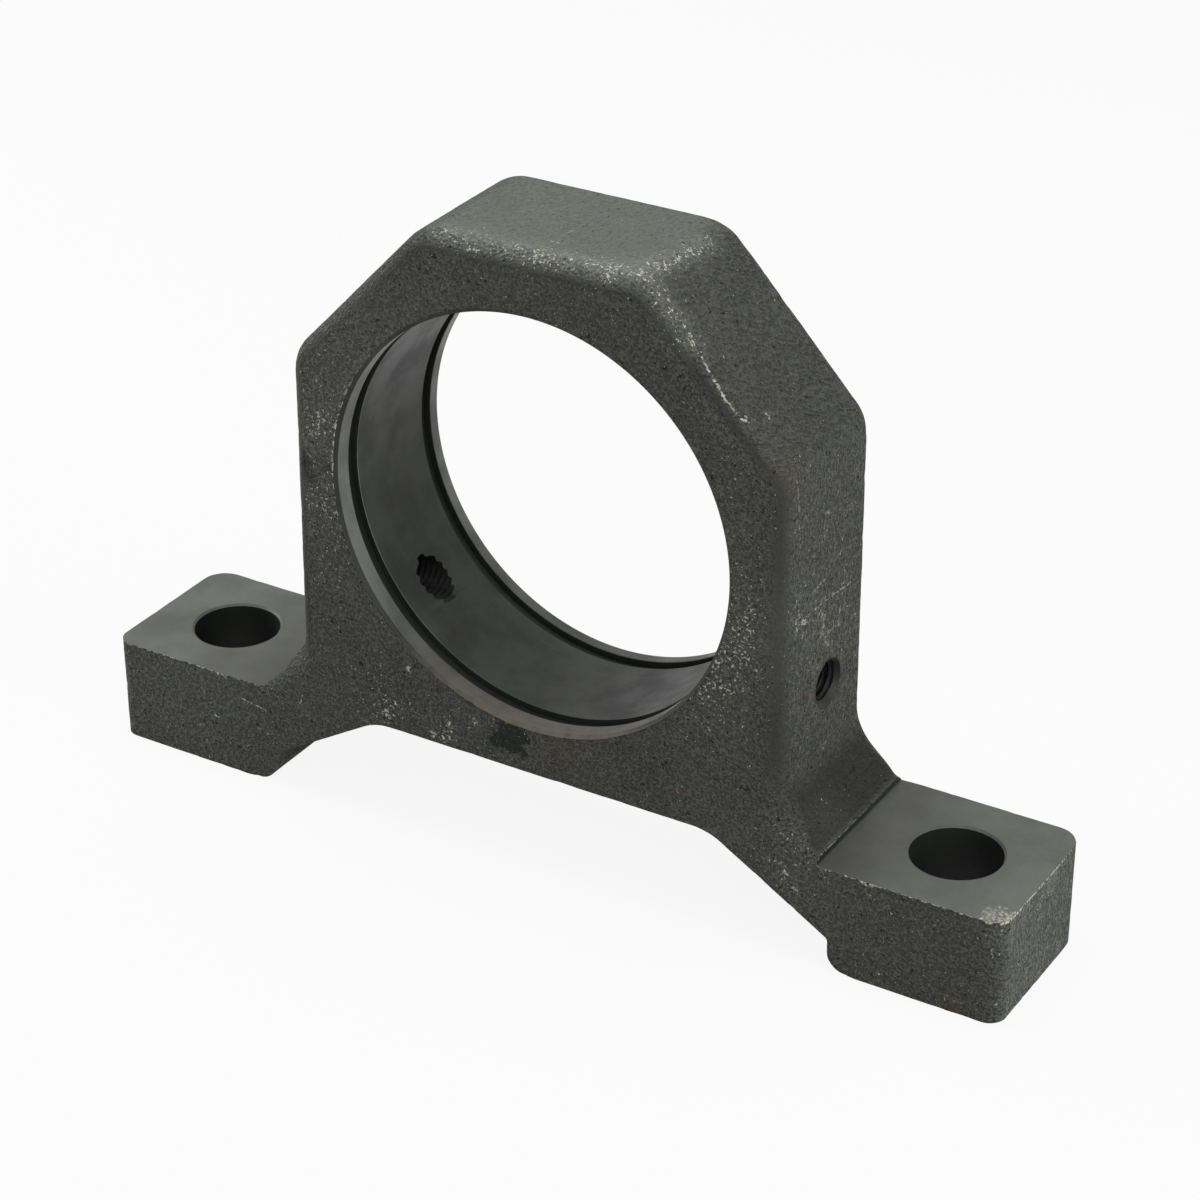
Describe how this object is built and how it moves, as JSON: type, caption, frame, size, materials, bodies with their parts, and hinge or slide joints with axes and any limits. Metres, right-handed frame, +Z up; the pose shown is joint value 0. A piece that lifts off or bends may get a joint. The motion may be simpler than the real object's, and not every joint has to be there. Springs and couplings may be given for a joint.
{
  "type": "driveshaft center support bearing housing",
  "caption": "Cast iron driveshaft bearing housing: a faceted ring with a grooved bore on bolt-down feet over an arch, with tapped side ports.",
  "frame": {"origin": "middle of the machined base, which is the bottom centre of the box", "axes": "+X along the feet, to the right seen from the front; +Y along the bore from the front face to the rear face; +Z up from the base"},
  "size_m": [0.2824, 0.0494, 0.1827],
  "materials": {
    "cast_iron": "sand cast skin with a dark finish, machined bore, base and pads"
  },
  "bodies": {
    "root": {"bearing_housing": "cast_iron"}
  },
  "joints": []
}
